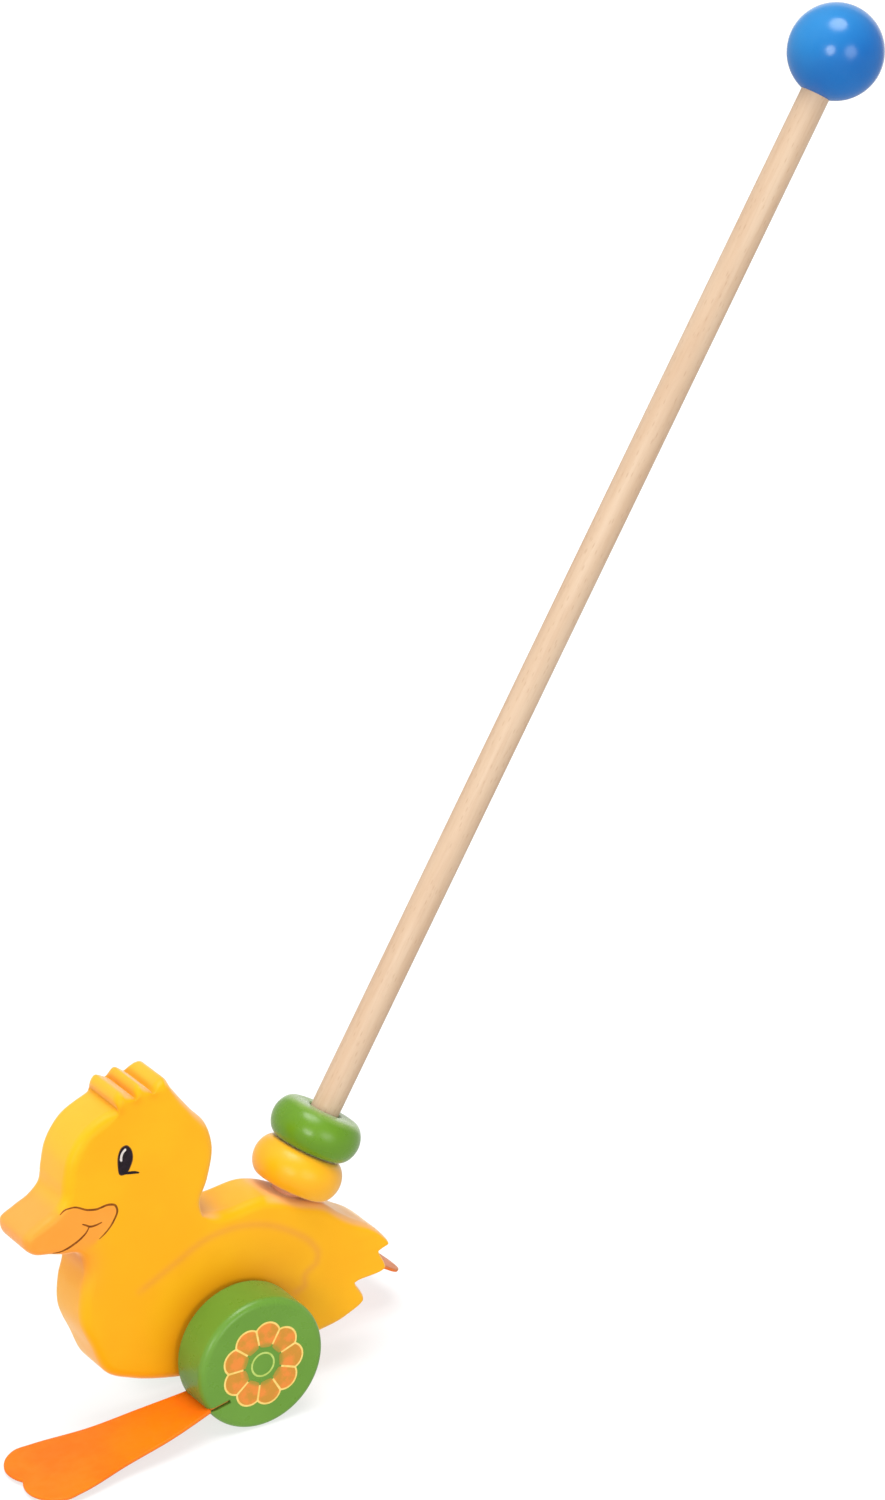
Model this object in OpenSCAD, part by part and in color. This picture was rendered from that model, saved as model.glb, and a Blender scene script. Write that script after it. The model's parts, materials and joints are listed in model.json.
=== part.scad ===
// Duck push toy: a wooden duck on two wheels with flapping rubber feet, pushed by a stick.
// The duck faces -X, the axle lies along Y and the wheels stand on Z = 0 below the origin.

/* [Duck] */
// Length from the beak to the tail
body_length = 163.5; // [120:0.5:220]
// Height from the belly to the tuft
body_height = 133.5; // [100:0.5:180]
// Thickness of the board
body_thick = 25; // [18:0.5:36]
// Radius of the rounded edges
edge_round = 4.5; // [1:0.1:6]

/* [Stick] */
// Diameter of the dowel
stick_dia = 12; // [8:0.5:16]
// Length of the dowel
stick_length = 538; // [300:1:750]
// Lean of the stick from the vertical, in degrees
stick_lean = 30.8; // [20:0.1:38]
// Lower end of the dowel above the axle's centre line, along the stick
stick_start = 24; // [16:0.5:34]
// Diameter of the ball on top
knob_dia = 38.5; // [28:0.5:50]
// Depth of the hole in the ball
knob_depth = 20; // [12:0.5:24]

/* [Beads] */
// Diameter of a bead
bead_dia = 37.5; // [26:0.5:46]
// Width of a bead along the stick
bead_width = 17; // [14:0.5:22]
// Radius of a bead's bulging side
bead_side = 11; // [11:0.5:16]
// Play between a bead's hole and the stick, on the radius
bead_play = 0.5; // [0.2:0.05:1]
// Daylight under a bead at rest
bead_seat = 0.2; // [0.1:0.05:0.6]

/* [Wheels] */
// Diameter of a wheel
wheel_dia = 56; // [46:1:70]
// Width of a wheel
wheel_width = 19; // [17:0.5:28]
// Radius of a wheel's rounded outer edge
wheel_round = 3; // [1:0.1:5]
// Radius of a wheel's edge beside the duck
inner_round = 1; // [0.5:0.1:3]
// Distance of the kerf's middle plane from the axle's centre line
kerf_offset = 8.5; // [6:0.5:12]
// Depth of the kerf from the rim
kerf_depth = 9.5; // [5:0.5:11]
// Slope of the right wheel's kerf at rest, in degrees
right_slope = 3; // [0:1:30]
// Glue gap on each side of a foot in its kerf
kerf_glue = 0.1; // [0.05:0.05:0.3]

/* [Axle] */
// Diameter of the axle
axle_dia = 8; // [5:0.5:10]
// Play between the axle and the duck, on the radius
axle_play = 0.2; // [0.1:0.05:0.6]
// Depth of the blind hole in a wheel
axle_depth = 13; // [8:0.5:14]
// Outer diameter of the washer between a wheel and the duck
washer_dia = 18; // [14:0.5:24]
// Thickness of the washer
washer_thick = 2.5; // [1:0.1:4]
// End play on each side of the washer
washer_play = 0.25; // [0.1:0.05:0.5]
// Glue gap around the axle and the stick ends, on the radius
glue_gap = 0.05; // [0.02:0.01:0.1]

/* [Feet] */
// Length of a foot from the rim to the toes
foot_length = 81; // [50:1:95]
// Thickness of the rubber
foot_thick = 1.5; // [1:0.1:3]
// Width of a foot at the rim
foot_root = 19; // [14:0.5:26]
// Widest width, near the toes
foot_spread = 42; // [30:0.5:56]
// Depth of the cleft between the two toes
toe_cleft = 2.5; // [1:0.5:8]
// Bend of the left foot, whose toes lie on the floor, in degrees
left_bend = 9; // [2:1:20]
// Bend of the right foot, which hangs in the air, in degrees
right_bend = 42; // [2:1:90]
// Least outward lean of the right foot, as a share of the distance from the rim
right_splay = 0.22; // [0:0.01:0.4]
// Daylight under the left foot's toes at rest
toe_lift = 1.5; // [0:0.1:4]
// Least room between the right foot and the duck's side
side_room = 0.5; // [0.3:0.1:3]

/* [Hidden] */
$fn = 64;

// Cuts run this far past the faces that they open
past = 1;

axle_height = wheel_dia / 2;
wheel_face = body_thick / 2 + washer_thick + 2 * washer_play;
wheel_middle = wheel_face + wheel_width / 2;

function wrap(list, i) = list[(i + len(list)) % len(list)];
function flat(p) = [p.x, p.y];

// A smooth closed outline through control points. A point's third value is 1 at a sharp corner.
function slope(points, i, before) =
    let (p = wrap(points, i),
         a = flat(p - wrap(points, i - 1)),
         b = flat(wrap(points, i + 1) - p))
    p[2] == 1 ? (before ? a / norm(a) : b / norm(b))
              : (a / norm(a) * norm(b) + b / norm(b) * norm(a)) / (norm(a) + norm(b));
function blend(p, q, m, n, t) =
    (2 * t ^ 3 - 3 * t ^ 2 + 1) * p + (t ^ 3 - 2 * t ^ 2 + t) * m
    + (3 * t ^ 2 - 2 * t ^ 3) * q + (t ^ 3 - t ^ 2) * n;
function span(points, i) = norm(flat(wrap(points, i + 1) - points[i]));
function pieces(points, i, step) = ceil(span(points, i) / step);
function smooth(points, step) = [
    for (i = [0:len(points) - 1])
        let (count = pieces(points, i, step), reach = span(points, i))
        for (k = [0:count - 1])
            blend(flat(points[i]), flat(wrap(points, i + 1)),
                  reach * slope(points, i, false), reach * slope(points, i + 1, true), k / count)];
// Where control point i lands in the smooth outline
function place(points, i, step) = i == 0 ? 0 : place(points, i - 1, step) + pieces(points, i - 1, step);

// The duck around the axle, clockwise from the beak's tip, for a board of design_length by design_height
design_length = 163.5;
design_height = 133.5;
head_points = [
    [-91, 69.5, 0], [-84, 74, 0], [-78, 77, 0], [-74, 81.5, 0], [-72.5, 89, 0],
    [-70, 98, 0], [-62.5, 108, 0], [-50.5, 114, 1],
    [-49.5, 119, 0], [-46.5, 120.5, 0], [-42.5, 118, 1], [-38.5, 122, 0], [-33.5, 119, 1],
    [-28.5, 121.5, 0], [-26, 118, 0],
    [-16.5, 105, 0], [-11, 98, 0], [-8, 88.5, 0], [-10.5, 74, 0], [-13.5, 64, 0]];
body_points = [
    [-12.5, 59.5, 1], [-4, 57.5, 0], [17, 58, 0], [29, 54, 0], [44, 47.7, 0], [51, 41.8, 0],
    [56, 37.5, 0], [64, 32.5, 0], [68.5, 28.5, 0], [72.5, 23, 0], [68, 21, 1], [71, 13.5, 0], [56, 9.5, 1],
    [61, 1.5, 0],
    [52.5, -4, 0], [38, -8, 0], [0, -11.5, 0], [-28, -8.5, 0], [-45, -4, 0], [-55.5, 1, 0],
    [-62.5, 14.5, 0], [-67, 28, 0], [-66.5, 40, 0], [-64.5, 48, 0]];
beak_points = [[-68.5, 57.5, 1], [-79, 60, 0], [-87, 61, 0], [-90, 65, 0]];
design_points = concat(head_points, body_points, beak_points);
// Points inside the head and the body that see all of their own outline
head_heart = [-42, 76];
body_heart = [4, 20];
function scaled(p) = [p.x * body_length / design_length, p.y * body_height / design_height];
outline_points = [for (p = design_points) concat(scaled(p), [p[2]])];
// Longest straight piece of the drawn outline
outline_step = 3;
duck_outline = smooth(outline_points, outline_step);
outline_end = len(duck_outline) - 1;
neck = place(outline_points, len(head_points), outline_step);
chin = place(outline_points, len(head_points) + len(body_points), outline_step);

// Rounded edges draw the outline in, by less where a tip is too slim for the full radius
function turn(i) =
    let (a = duck_outline[i] - wrap(duck_outline, i - 1),
         b = wrap(duck_outline, i + 1) - duck_outline[i],
         across = a.x * b.y - a.y * b.x)
    across < 0 ? norm(a) * norm(b) * norm(a + b) / (-2 * across) : body_length;
function inward(i) =
    let (d = wrap(duck_outline, i + 1) - wrap(duck_outline, i - 1))
    [d.y, -d.x] / norm(d);
// Share of a tip's own radius that the rounded edge may take
slim_share = 0.7;
// A slim tip thins the edge this far along the outline
tip_length = 13;
tip_reach = round(tip_length / outline_step);
around = [-tip_reach:tip_reach];
tip_limit = [for (i = [0:outline_end]) min(edge_round, slim_share * turn(i))];
near_limit = [for (i = [0:outline_end]) min([for (k = around) wrap(tip_limit, i + k)])];
function total(list) = list * [for (value = list) 1];
draw_in = [
    for (i = [0:outline_end]) total([for (k = around) wrap(near_limit, i + k)]) / (2 * tip_reach + 1)];

// Rings of the rounded edges, from one face of the board to the other: share drawn in, and Y
edge_steps = 5;
near_rings = [
    for (k = [0:edge_steps])
        let (angle = 90 * k / edge_steps)
        [1 - sin(angle), edge_round * (1 - cos(angle)) - body_thick / 2]];
edge_rings = concat(near_rings, [for (k = [edge_steps:-1:0]) [near_rings[k].x, -near_rings[k].y]]);

// The beads' seat: the duck's back meets the lower bead, whose bulging side lifts its rim
function along_stick(p) = p.x * sin(stick_lean) + p.y * cos(stick_lean);
function off_stick(p) = abs(p.x * cos(stick_lean) - p.y * sin(stick_lean));
function rim_lift(r) =
    let (out = max(0, r - (bead_dia / 2 - bead_side)))
    max(0, bead_width / 2 - sqrt(max(0, bead_side ^ 2 - out ^ 2)));
// The back is probed at this share of each straight piece of the outline
seat_share = 0.1;
back_points = [
    for (i = [0:outline_end], t = [0:seat_share:1])
        duck_outline[i] * (1 - t) + wrap(duck_outline, i + 1) * t];
bead_start = bead_seat + max([
    for (p = back_points) if (off_stick(p) < bead_dia / 2) along_stick(p) - rim_lift(off_stick(p))]);
stick_end = stick_start + stick_length;
knob_centre = stick_end - knob_depth + knob_dia / 2;

// Kerf and foot, seen in the wheel's own plane with +X outward along the kerf
kerf_mouth = sqrt((wheel_dia / 2) ^ 2 - kerf_offset ^ 2);
kerf_end = kerf_mouth - kerf_depth;
kerf_width = foot_thick + 2 * kerf_glue;
bend_steps = 12;
// A point of a blade that bends evenly towards -Z: s along it from the rim, off to its outer side
function blade(bend, s, off) =
    let (radius = foot_length * 180 / (bend * PI), angle = bend * max(s, 0) / foot_length)
    [kerf_mouth + min(s, 0) + (radius + off) * sin(angle),
     kerf_offset + (radius + off) * cos(angle) - radius];
// The left wheel stands where its foot's toes reach the floor
toe = blade(left_bend, foot_length, foot_thick / 2);
left_slope = asin((axle_height - toe_lift) / norm(toe)) - atan2(toe.y, toe.x);

// Half of the flat foot: distance from the rim, and half width
foot_flare = foot_spread - foot_root;
foot_step = 3;
foot_half = [
    [-kerf_depth + kerf_glue, foot_root / 2, 1], [0, foot_root / 2, 1],
    [0.24 * foot_length, foot_root / 2 + 0.15 * foot_flare, 0],
    [0.51 * foot_length, foot_root / 2 + 0.27 * foot_flare, 0],
    [0.8 * foot_length, 0.49 * foot_spread, 0], [0.88 * foot_length, 0.5 * foot_spread, 0],
    [0.95 * foot_length, 0.42 * foot_spread, 0], [foot_length, 0.23 * foot_spread, 0],
    [foot_length - 0.3 * toe_cleft, 0.08 * foot_spread, 0], [foot_length - toe_cleft, 0, 1]];
other_half = [
    for (i = [len(foot_half) - 2:-1:0]) [foot_half[i].x, -foot_half[i].y, foot_half[i][2]]];
foot_plan = smooth(concat(foot_half, other_half), foot_step);
// The right foot leans outward, at least as far as the duck's side pushes it
inner_room = wheel_middle - body_thick / 2 - side_room;
right_lean = max([for (p = foot_half) p.x > 0 ? max(right_splay, (p.y - inner_room) / p.x) : 0]);

module along_y() {
    rotate([90, 0, 0]) children();
}

module on_stick(distance) {
    translate([0, 0, axle_height]) rotate([0, stick_lean, 0]) translate([0, 0, distance]) children();
}

module on_wheel(side) {
    translate([0, side * wheel_middle, axle_height])
        rotate([0, side < 0 ? 180 - left_slope : -right_slope, 0]) children();
}

// Disc along +Z from 0 with a rounded edge at each end
module round_disc(dia, width, low_edge, high_edge) {
    rotate_extrude() {
        square([dia / 2 - low_edge, width / 2]);
        translate([0, width / 2]) square([dia / 2 - high_edge, width / 2]);
        translate([0, low_edge]) square([dia / 2, width - low_edge - high_edge]);
        translate([dia / 2 - low_edge, low_edge]) circle(low_edge);
        translate([dia / 2 - high_edge, width - high_edge]) circle(high_edge);
    }
}

module board() {
    count = outline_end + 1;
    last = len(edge_rings) - 1;
    hearts = [scaled(head_heart), scaled(body_heart)];
    points = concat(
        [for (ring = edge_rings, i = [0:outline_end])
            let (p = duck_outline[i] + ring[0] * draw_in[i] * inward(i))
            [p.x, ring[1], p.y]],
        [for (ring = [edge_rings[0], edge_rings[last]], p = hearts) [p.x, ring[1], p.y]]);
    sides = [
        for (r = [0:last - 1], i = [0:outline_end])
            let (j = (i + 1) % count)
            each [[r * count + i, (r + 1) * count + j, r * count + j],
                  [r * count + i, (r + 1) * count + i, (r + 1) * count + j]]];
    // Each face of the board is two fans that meet along a line across the neck
    fans = [
        for (i = [0:outline_end])
            let (in_body = i >= neck && i < chin)
            [i, (i + 1) % count, in_body ? 1 : 0]];
    all_fans = concat(fans, [[chin, neck, 1], [neck, chin, 0]]);
    first_heart = (last + 1) * count;
    near_face = [for (f = all_fans) [f[0], f[1], first_heart + f[2]]];
    far_face = [for (f = all_fans) [last * count + f[1], last * count + f[0], first_heart + 2 + f[2]]];
    polyhedron(points, concat(sides, near_face, far_face));
}

module bead(start) {
    on_stick(start) difference() {
        rotate_extrude() intersection() {
            square([bead_dia / 2, bead_width]);
            union() {
                square([bead_dia / 2 - bead_side, bead_width]);
                translate([bead_dia / 2 - bead_side, bead_width / 2]) circle(bead_side);
            }
        }
        translate([0, 0, -past])
            cylinder(d = stick_dia + 2 * bead_play, h = bead_width + 2 * past);
    }
}

module wheel(side) {
    on_wheel(side) difference() {
        rotate([side < 0 ? 90 : -90, 0, 0]) translate([0, 0, -wheel_width / 2]) difference() {
            round_disc(wheel_dia, wheel_width, inner_round, wheel_round);
            translate([0, 0, -past]) cylinder(d = axle_dia + 2 * glue_gap, h = axle_depth + past);
        }
        translate([kerf_end, -wheel_width / 2 - past, kerf_offset - kerf_width / 2])
            cube([wheel_dia, wheel_width + 2 * past, kerf_width]);
    }
}

// A foot is a flat tongue in the kerf and a bent blade
module foot(side, bend, lean) {
    stretch = concat([-kerf_depth + kerf_glue], [for (k = [0:bend_steps]) foot_length * k / bend_steps]);
    top = [for (s = stretch) blade(bend, s, foot_thick / 2)];
    under = [for (k = [len(stretch) - 1:-1:0]) blade(bend, stretch[k], -foot_thick / 2)];
    on_wheel(side) intersection() {
        translate([0, foot_spread, 0]) along_y() linear_extrude(2 * foot_spread)
            polygon(concat(top, under));
        translate([0, 0, -foot_length]) linear_extrude(2 * foot_length)
            polygon([for (p = foot_plan) [blade(bend, p.x, 0).x, p.y + side * lean * max(p.x, 0)]]);
    }
}

module duck_body() {
    color("gold") difference() {
        translate([0, 0, axle_height]) board();
        translate([0, body_thick / 2 + past, axle_height]) along_y()
            cylinder(d = axle_dia + 2 * axle_play, h = body_thick + 2 * past);
        on_stick(stick_start - glue_gap) cylinder(d = stick_dia + 2 * glue_gap, h = body_height);
    }
}

module push_stick() {
    color("burlywood") on_stick(stick_start) cylinder(d = stick_dia, h = stick_length);
}

module knob() {
    color("dodgerblue") difference() {
        on_stick(knob_centre) sphere(d = knob_dia);
        on_stick(stick_end + glue_gap - knob_dia) cylinder(d = stick_dia + 2 * glue_gap, h = knob_dia);
    }
}

module yellow_bead() {
    color("gold") bead(bead_start);
}

module green_bead() {
    color("yellowgreen") bead(bead_start + bead_width + bead_seat);
}

module axle() {
    half = wheel_face + axle_depth - glue_gap;
    color("tan") translate([0, half, axle_height]) along_y() cylinder(d = axle_dia, h = 2 * half);
}

module washer(side) {
    outer = side * (body_thick / 2 + washer_play + washer_thick / 2);
    color("wheat") translate([0, outer + washer_thick / 2, axle_height]) along_y() difference() {
        cylinder(d = washer_dia, h = washer_thick);
        translate([0, 0, -past]) cylinder(d = axle_dia + 2 * axle_play, h = washer_thick + 2 * past);
    }
}

module left_washer() {
    washer(-1);
}

module right_washer() {
    washer(1);
}

module left_wheel() {
    color("olivedrab") wheel(-1);
}

module right_wheel() {
    color("olivedrab") wheel(1);
}

module left_foot() {
    color("darkorange") foot(-1, left_bend, 0);
}

module right_foot() {
    color("darkorange") foot(1, right_bend, right_lean);
}

duck_body();
push_stick();
knob();
yellow_bead();
green_bead();
axle();
left_washer();
right_washer();
left_wheel();
right_wheel();
left_foot();
right_foot();
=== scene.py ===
import json
import math

import bmesh
import bpy
import numpy as np
from mathutils import Matrix, Vector
from mathutils.bvhtree import BVHTree
from mathutils.geometry import delaunay_2d_cdt


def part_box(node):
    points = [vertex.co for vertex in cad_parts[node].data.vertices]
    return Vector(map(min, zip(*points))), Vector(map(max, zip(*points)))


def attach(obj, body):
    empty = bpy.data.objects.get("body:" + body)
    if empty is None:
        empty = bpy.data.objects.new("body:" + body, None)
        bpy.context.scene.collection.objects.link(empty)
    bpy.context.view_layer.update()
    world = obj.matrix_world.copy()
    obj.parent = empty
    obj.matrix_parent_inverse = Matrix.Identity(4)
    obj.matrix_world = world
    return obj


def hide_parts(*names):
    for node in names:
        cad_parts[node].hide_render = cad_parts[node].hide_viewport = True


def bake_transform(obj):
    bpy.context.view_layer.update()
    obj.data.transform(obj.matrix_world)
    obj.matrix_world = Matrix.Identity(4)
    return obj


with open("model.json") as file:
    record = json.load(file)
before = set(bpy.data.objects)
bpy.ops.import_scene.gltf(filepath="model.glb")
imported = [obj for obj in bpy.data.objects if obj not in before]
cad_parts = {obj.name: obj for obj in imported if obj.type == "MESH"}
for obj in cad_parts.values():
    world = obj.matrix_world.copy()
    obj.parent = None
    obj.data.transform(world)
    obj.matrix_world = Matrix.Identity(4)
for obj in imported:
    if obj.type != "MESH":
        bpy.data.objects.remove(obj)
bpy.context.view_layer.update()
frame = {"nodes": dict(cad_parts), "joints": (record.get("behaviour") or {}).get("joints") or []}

# Sizes are in millimetres, as on the drawing, and MM turns them into metres.
# The duck faces -X, and its drawings are (x, z) around the axle.
MM = 0.001
TINY = 1e-6
# Sides of the toy, as the sign of y
LEFT = -1
RIGHT = 1
SIDES = ((LEFT, "left"), (RIGHT, "right"))
# Marks a point of a drawing as a sharp corner
SHARP = 1

nodes = frame["nodes"]
joints = {joint["name"]: joint for joint in frame["joints"]}
axle_height = joints["wheel_spin"]["pos_m"][2] / MM
stick_axis = Vector(joints["yellow_bead_slide"]["axis"])
# Turns that bring the stick and the axle upright, for the grain of their wood
stick_turn = (0, -math.atan2(stick_axis.x, stick_axis.z), 0)
axle_turn = (math.pi / 2, 0, 0)
board_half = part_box("duck_body")[1].y / MM
wheel_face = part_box("right_wheel")[1].y / MM
wheel_middle = joints["right_foot_flex"]["pos_m"][1] / MM


def middle_of(name):
    """Middle of a node's box, in metres."""
    low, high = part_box(name)
    return (low + high) / 2


# Curves and points in a plane

def unit(v):
    """Vectors of the same direction and a length of one."""
    return v / np.linalg.norm(v, axis=-1, keepdims=True)


def smooth_path(points, step, closed):
    """A smooth curve through (x, z) points, with a corner at each that is marked as sharp."""
    flat = np.array([p[:2] for p in points], float)
    sharp = [len(p) > 2 for p in points]
    count = len(flat)
    last = count - 1

    def slope(i, before):
        """Direction of the curve just before or just after a point."""
        a = flat[i] - flat[i - 1]
        b = flat[(i + 1) % count] - flat[i]
        is_start = not closed and i == 0
        is_end = not closed and i == last
        if is_end or (sharp[i] and before):
            return unit(a)
        if is_start or sharp[i]:
            return unit(b)
        la = np.linalg.norm(a)
        lb = np.linalg.norm(b)
        return (unit(a) * lb + unit(b) * la) / (la + lb)

    path = []
    for i in range(count if closed else last):
        j = (i + 1) % count
        p = flat[i]
        q = flat[j]
        reach = np.linalg.norm(q - p)
        m = reach * slope(i, False)
        n = reach * slope(j, True)
        pieces = math.ceil(reach / step)
        for t in np.arange(pieces) / pieces:
            path.append((2 * t**3 - 3 * t**2 + 1) * p + (t**3 - 2 * t**2 + t) * m
                        + (3 * t**2 - 2 * t**3) * q + (t**3 - t**2) * n)
    if not closed:
        path.append(flat[last])
    return np.array(path)


def whole(half):
    """The closed drawing of which this is one half, up to a point on the mirror line."""
    return half + [(p[0], -p[1], *p[2:]) for p in reversed(half[:-1])]


def looped(path):
    """A path that comes back to its first point."""
    return np.vstack([path, path[:1]])


def neighbours(values, steps):
    """The values of each neighbour on a closed path, up to some steps to both sides."""
    return [np.roll(values, k, 0) for k in range(-steps, steps + 1)]


def distance_to_path(points, path):
    """Distance of each point from a path of straight pieces."""
    nearest = np.full(len(points), np.inf)
    for a, b in zip(path[:-1], path[1:]):
        run = b - a
        t = np.clip((points - a) @ run / max(run @ run, TINY), 0, 1)
        nearest = np.minimum(nearest, np.linalg.norm(points - a - t[:, None] * run, axis=1))
    return nearest


def nearest_of(points, others):
    """Distance of each point from the nearest of some others."""
    return np.min([np.linalg.norm(points - other, axis=1) for other in others], axis=0)


def inside(points, polygon):
    """Which points lie inside a closed polygon."""
    odd = np.zeros(len(points), bool)
    for a, b in zip(polygon, np.roll(polygon, -1, 0)):
        if a[1] != b[1]:
            crosses = (a[1] > points[:, 1]) != (b[1] > points[:, 1])
            at = a[0] + (points[:, 1] - a[1]) * (b[0] - a[0]) / (b[1] - a[1])
            odd ^= crosses & (points[:, 0] < at)
    return odd


def smoothstep(start, end, value):
    """Leads smoothly from 0 at the start to 1 at the end."""
    t = np.clip((value - start) / (end - start), 0, 1)
    return t * t * (3 - 2 * t)


def falloff(distance, reach):
    """Fades from 1 at no distance to little beyond the reach."""
    return np.exp(-(distance / reach) ** 2)


# Meshes

# Neighbours to both sides that share in an outline's direction at a point
DIRECTION_STEPS = 2
# Of the triangles between given edges, take only those inside
INSIDE_ONLY = 1
BORE_SIDES = 64
# A point this close to a bore's wall lies on it
RIM_ROOM = 0.02


def drawn_in(outline, amounts):
    """A clockwise outline moved inward, by its own amount at each point."""
    along = unit(np.roll(outline, -1, 0) - np.roll(outline, 1, 0))
    along = unit(sum(neighbours(along, DIRECTION_STEPS)))
    inward = np.stack([along[:, 1], -along[:, 0]], 1)
    return outline + inward * np.reshape(amounts, (-1, 1))


def rounded_plate(outline, rim, half_thick, edge, edge_steps, grid):
    """A plate whose edges round over from an outline to a rim on each face.

    Gives points as (u, v, thickness), and faces.
    """
    count = len(outline)
    quarter = np.linspace(0, math.pi / 2, edge_steps + 1)
    near = [(1 - math.sin(a), edge * (1 - math.cos(a)) - half_thick) for a in quarter]
    rings = near + [(share, -t) for share, t in reversed(near)]
    last_ring = (len(rings) - 1) * count
    points = []
    for share, t in rings:
        points += [(u, v, t) for u, v in outline + share * (rim - outline)]
    faces = []
    for here in range(0, last_ring, count):
        there = here + count
        for i in range(count):
            j = (i + 1) % count
            faces.append((here + i, here + j, there + j, there + i))

    # Both faces are filled with a grid of points
    low = rim.min(0)
    high = rim.max(0)
    grid_u, grid_v = np.meshgrid(np.arange(low[0], high[0], grid), np.arange(low[1], high[1], grid))
    core = np.stack([grid_u.ravel(), grid_v.ravel()], 1)
    core = core[inside(core, rim)]
    core = core[distance_to_path(core, looped(rim)) > grid / 2]
    loop = [(i, (i + 1) % count) for i in range(count)]
    seeds = [Vector(p) for p in np.vstack([rim, core])]
    triangles = delaunay_2d_cdt(seeds, loop, [], INSIDE_ONLY, TINY)[2]
    for ring, t in ((0, -half_thick), (last_ring, half_thick)):
        offset = len(points) - count
        points += [(u, v, t) for u, v in core]
        for triangle in triangles:
            faces.append([(ring if k < count else offset) + k for k in triangle])
    return np.array(points), faces


def lathe(half_profile, step, segments, centre, axis):
    """A ring turned from half of a closed (radius, height) profile: points and faces."""
    profile = smooth_path(whole(half_profile), step, True)
    count = len(profile)
    across = axis.orthogonal().normalized()
    beside = axis.cross(across)
    points = []
    for angle in np.arange(segments) * 2 * math.pi / segments:
        out = across * math.cos(angle) + beside * math.sin(angle)
        points += [centre + out * r + axis * h for r, h in profile]
    faces = []
    for k in range(segments):
        here = k * count
        there = (k + 1) % segments * count
        for i in range(count):
            j = (i + 1) % count
            faces.append((here + i, here + j, there + j, there + i))
    return points, faces


def new_object(name, points, faces):
    """A smooth-shaded mesh object from points in millimetres."""
    mesh = bpy.data.meshes.new(name)
    mesh.from_pydata([Vector(p) * MM for p in points], [], faces)
    shell = bmesh.new()
    shell.from_mesh(mesh)
    bmesh.ops.recalc_face_normals(shell, faces=shell.faces)
    shell.to_mesh(mesh)
    shell.free()
    mesh.shade_smooth()
    obj = bpy.data.objects.new(name, mesh)
    bpy.context.scene.collection.objects.link(obj)
    return obj


def drill(obj, start, end, dia):
    """Bores a round hole with a sharp rim from start to end, in millimetres."""
    start = Vector(start) * MM
    end = Vector(end) * MM
    radius = dia / 2 * MM
    turn = (end - start).to_track_quat("Z", "Y").to_matrix().to_4x4()
    place = Matrix.Translation((start + end) / 2) @ turn
    shape = bmesh.new()
    bmesh.ops.create_cone(shape, cap_ends=True, segments=BORE_SIDES, radius1=radius,
                          radius2=radius, depth=(end - start).length, matrix=place)
    mesh = bpy.data.meshes.new("bit")
    shape.to_mesh(mesh)
    shape.free()
    bit = bpy.data.objects.new("bit", mesh)
    bpy.context.scene.collection.objects.link(bit)
    bore = obj.modifiers.new("bore", "BOOLEAN")
    bore.object = bit
    bore.solver = "EXACT"
    graph = bpy.context.evaluated_depsgraph_get()
    obj.data = bpy.data.meshes.new_from_object(obj.evaluated_get(graph))
    obj.modifiers.clear()
    bpy.data.objects.remove(bit)

    # The rims stay sharp under the smooth shading
    axis = (end - start).normalized()
    reach = (dia / 2 + RIM_ROOM) * MM
    at_bore = [(v.co - start).cross(axis).length < reach for v in obj.data.vertices]
    for edge in obj.data.edges:
        if all(at_bore[k] for k in edge.vertices):
            edge.use_edge_sharp = True


def point_mask(obj, name, values):
    """Stores a value at each point of a mesh, for its material."""
    layer = obj.data.attributes.new(name, "FLOAT", "POINT")
    layer.data.foreach_set("value", np.asarray(values, np.float32))


# Materials

# A surface that faces the camera gets this much light,
# so its own colour is that much darker than it looks
LIGHT_LEVEL = 1.3
# The range in which most values of a noise lie
MOST_NOISE = (0.3, 0.7)
NO_TURN = (0, 0, 0)


def srgb(*values):
    """Own colour of a surface that looks like this on a screen, 0 to 255, in the studio's light."""
    shares = [v / 255 for v in values]
    linear = [s / 12.92 if s <= 0.04045 else ((s + 0.055) / 1.055) ** 2.4 for s in shares]
    return (*[value / LIGHT_LEVEL for value in linear], 1.0)


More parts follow.
